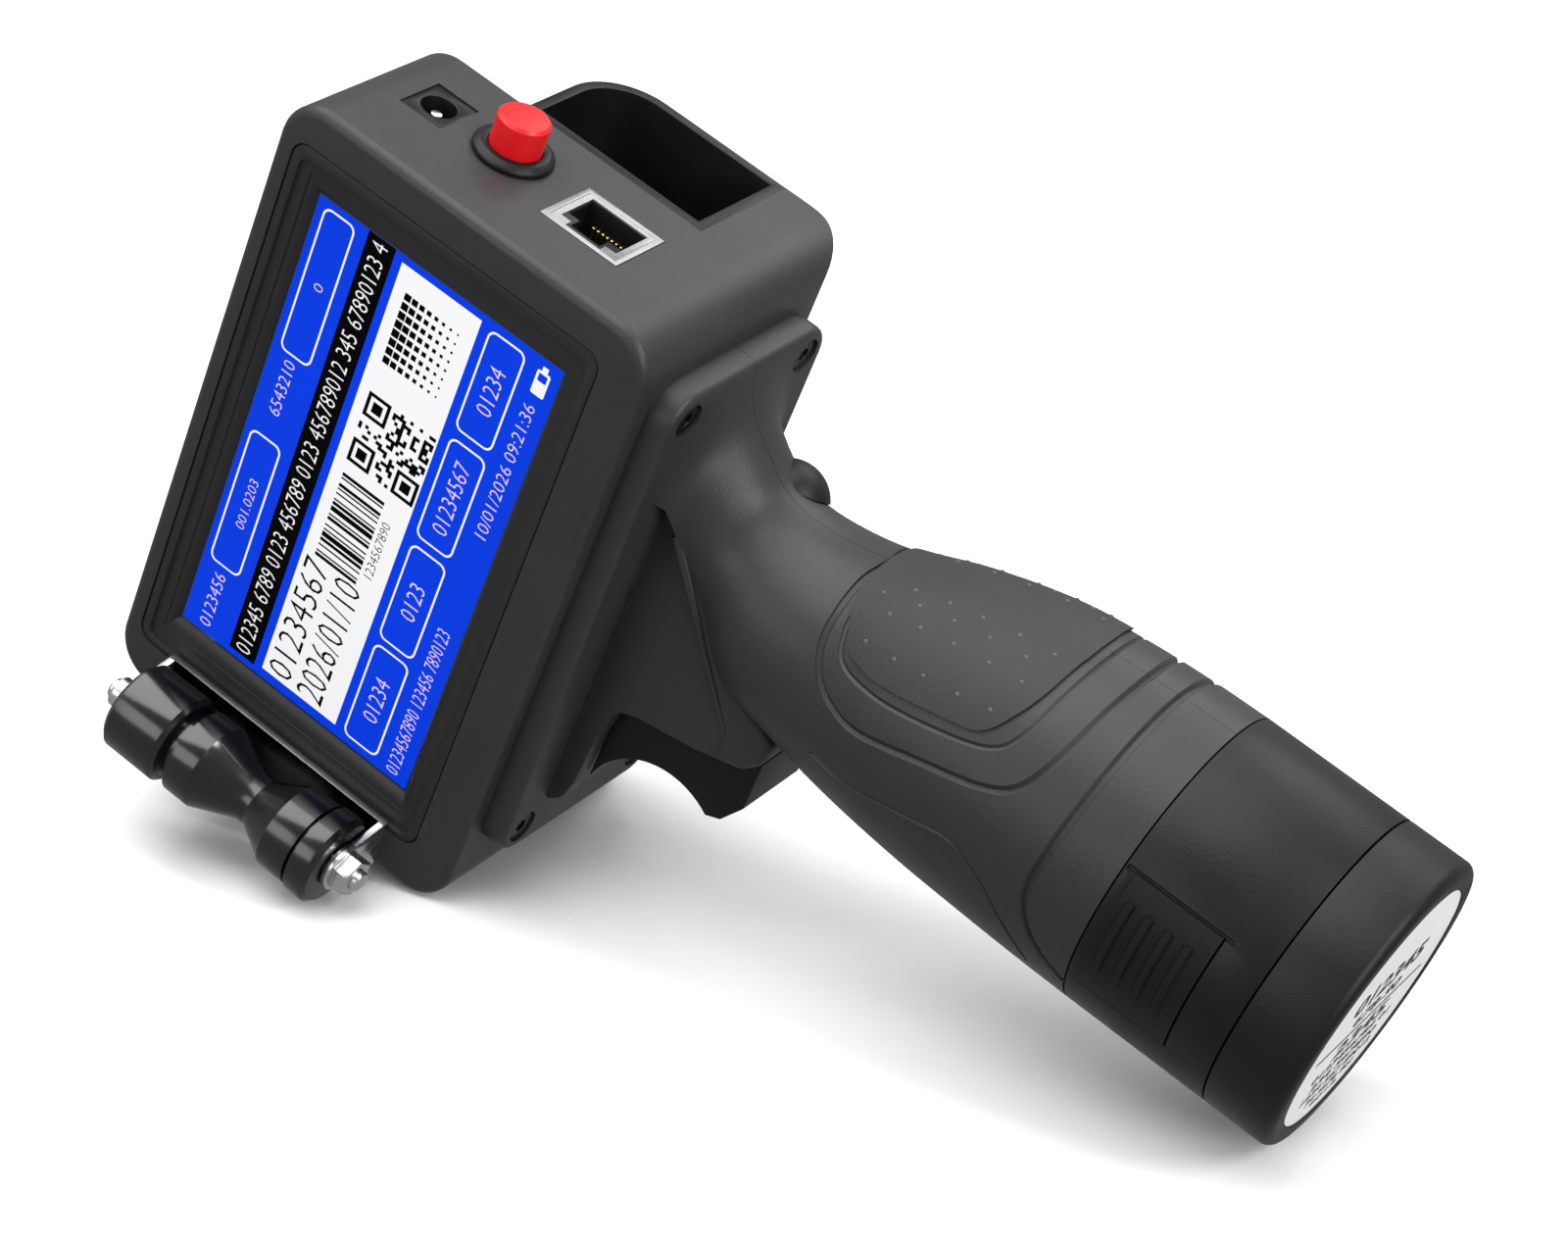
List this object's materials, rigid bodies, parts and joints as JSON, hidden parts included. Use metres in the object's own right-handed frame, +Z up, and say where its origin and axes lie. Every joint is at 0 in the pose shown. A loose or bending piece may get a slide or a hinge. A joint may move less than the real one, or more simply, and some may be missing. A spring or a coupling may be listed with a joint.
{
  "type": "date code inkjet printer",
  "caption": "Handheld inkjet date coder: touch screen box with rear cartridge bay, pistol grip with trigger, slide-off battery and guide roller.",
  "frame": {"origin": "on the ground, below the centre of the outline of the standing printer", "axes": "+X from the screen box towards the battery, +Y from the screen to the back, +Z up; the printer leans so that it stands on its box corner and its battery rim"},
  "size_m": [0.2494, 0.0811, 0.143],
  "materials": {
    "grey_case": "fine moulded texture",
    "dark_trim": "fine moulded texture",
    "black_plastic": "satin",
    "battery_black": "satin",
    "screen_glass": "gloss, lit picture behind it",
    "display_metal": "satin",
    "circuit_green": "satin",
    "steel": "satin",
    "bright_steel": "polished",
    "black_steel": "black oxide",
    "contact_gold": "polished",
    "red_cap": "satin",
    "grip_rubber": "matt, small dots",
    "black_rubber": "matt",
    "roller_black": "satin gloss",
    "cartridge_black": "satin",
    "label_white": "printed film",
    "cell_wrap": "shrink film"
  },
  "bodies": {
    "housing": {"main_housing": "grey_case", "rear_cover": "dark_trim", "cover_screws": "black_steel", "screen_bezel": "dark_trim", "touch_glass": "screen_glass", "display_module": "display_metal", "main_board": "circuit_green", "power_inlet": "black_plastic", "inlet_pin": "bright_steel", "button_collar": "black_plastic", "button_nut": "steel", "button_spring": "steel", "button_switch": "black_plastic", "network_socket": "steel", "network_insert": "black_plastic", "network_contacts": "contact_gold", "cartridge_bay": "black_plastic", "contact_board": "circuit_green", "contact_pins": "contact_gold", "face_plate": "steel", "face_screws": "steel", "grip_front": "grey_case", "grip_rear": "grey_case", "plate_screws": "black_steel", "grip_screws": "black_steel", "grip_pad": "grip_rubber", "thumb_lobe": "black_rubber", "trigger_pin": "steel", "trigger_spring": "steel", "trigger_switch": "black_plastic", "battery_dock": "black_plastic", "dock_contacts": "contact_gold", "roller_bracket": "bright_steel", "bracket_screws": "steel", "roller_axle": "bright_steel", "axle_nuts": "bright_steel"},
    "red_button": {"power_button": "red_cap"},
    "pull_trigger": {"trigger": "black_plastic"},
    "cartridge": {"ink_cartridge": "cartridge_black", "nozzle_plate": "contact_gold"},
    "battery": {"battery_shell": "battery_black", "battery_cap": "battery_black", "battery_label": "label_white", "battery_cells": "cell_wrap", "battery_contacts": "contact_gold", "latch_spring_front": "steel", "latch_spring_rear": "steel"},
    "front_latch": {"latch_front": "battery_black"},
    "rear_latch": {"latch_rear": "battery_black"},
    "guide_roller": {"left_wheel": "roller_black", "waist_roller": "roller_black", "right_wheel": "roller_black"}
  },
  "joints": [
    {"name": "button_press", "type": "slide", "parent": "housing", "child": "red_button", "axis": [-0.3573, 0, -0.934], "range_m": [0, 0.0018], "stiffness_N_per_m": 500, "springref_m": -0.001, "deforming": ["button_spring"]},
    {"name": "trigger_pull", "type": "hinge", "parent": "housing", "child": "pull_trigger", "pos_m": [-0.02056, 0.00675, 0.04422], "axis": [0, -1, 0], "range_deg": [0, 8], "stiffness_Nm_per_rad": 0.3, "springref_deg": -11.46, "deforming": ["trigger_spring"]},
    {"name": "cartridge_slide", "type": "slide", "parent": "housing", "child": "cartridge", "axis": [0.3573, 0, 0.934], "range_m": [0, 0.09]},
    {"name": "battery_slide", "type": "slide", "parent": "housing", "child": "battery", "axis": [0.934, 0, -0.3573], "range_m": [0, 0.06]},
    {"name": "front_latch_press", "type": "slide", "parent": "battery", "child": "front_latch", "axis": [0, 1, 0], "range_m": [0, 0.0015], "stiffness_N_per_m": 800, "springref_m": -0.001, "deforming": ["latch_spring_front"]},
    {"name": "rear_latch_press", "type": "slide", "parent": "battery", "child": "rear_latch", "axis": [0, -1, 0], "range_m": [0, 0.0015], "stiffness_N_per_m": 800, "springref_m": -0.001, "deforming": ["latch_spring_rear"]},
    {"name": "roller_spin", "type": "hinge", "parent": "housing", "child": "guide_roller", "pos_m": [-0.08938, -0.03165, 0.01684], "axis": [0.934, 0, -0.3573], "continuous": true}
  ]
}
